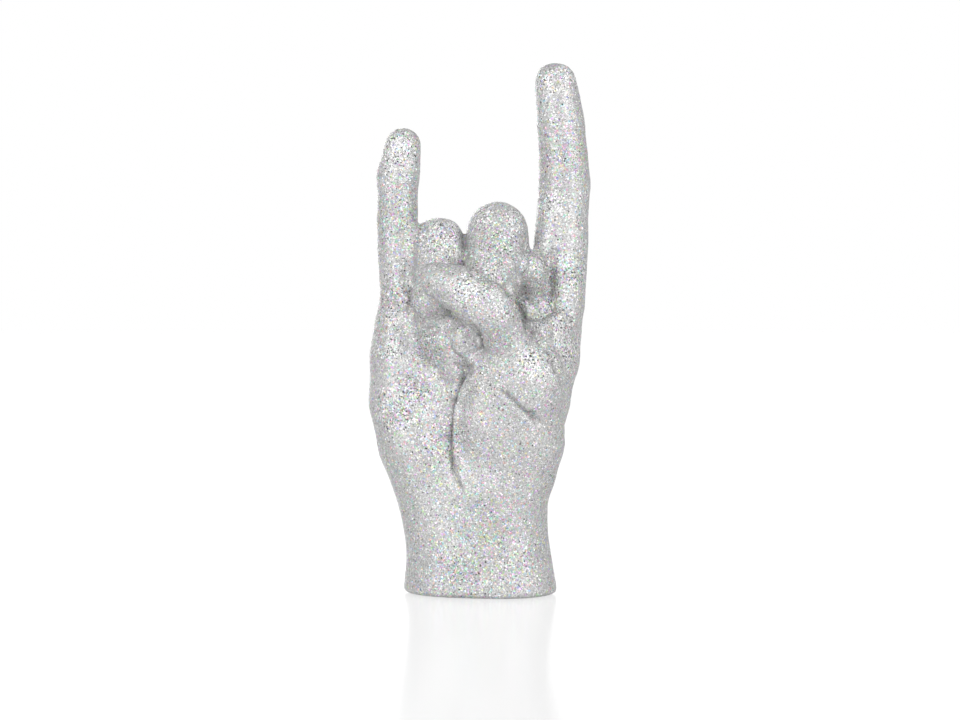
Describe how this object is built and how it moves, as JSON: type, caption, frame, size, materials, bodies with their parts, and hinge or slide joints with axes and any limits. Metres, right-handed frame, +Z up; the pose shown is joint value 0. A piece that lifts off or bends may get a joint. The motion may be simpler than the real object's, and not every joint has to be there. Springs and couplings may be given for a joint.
{
  "type": "hand sculpture",
  "caption": "Standing hand sculpture making the sign of the horns, cut flat at the wrist and coated all over in fine silver glitter.",
  "frame": {"origin": "middle of the resting face under the foot pad", "axes": "+Z up along the forearm and the raised fingers, the palm faces -Y, the thumb and index finger are on the +X side"},
  "size_m": [0.0969, 0.0717, 0.2309],
  "materials": {
    "glitter": "cast resin under a clear coat full of fine silver holographic glitter",
    "steel": "plain ground steel rod",
    "plug": "bare cast resin",
    "pad": "thin dark foam rubber"
  },
  "bodies": {
    "root": {"palm_casting": "glitter", "index_finger": "glitter", "little_finger": "glitter", "middle_finger": "glitter", "ring_finger": "glitter", "thumb": "glitter", "index_finger_dowel": "steel", "little_finger_dowel": "steel", "middle_finger_dowel": "steel", "ring_finger_dowel": "steel", "thumb_dowel": "steel", "foot_plug": "plug", "foot_pad": "pad"}
  },
  "joints": []
}
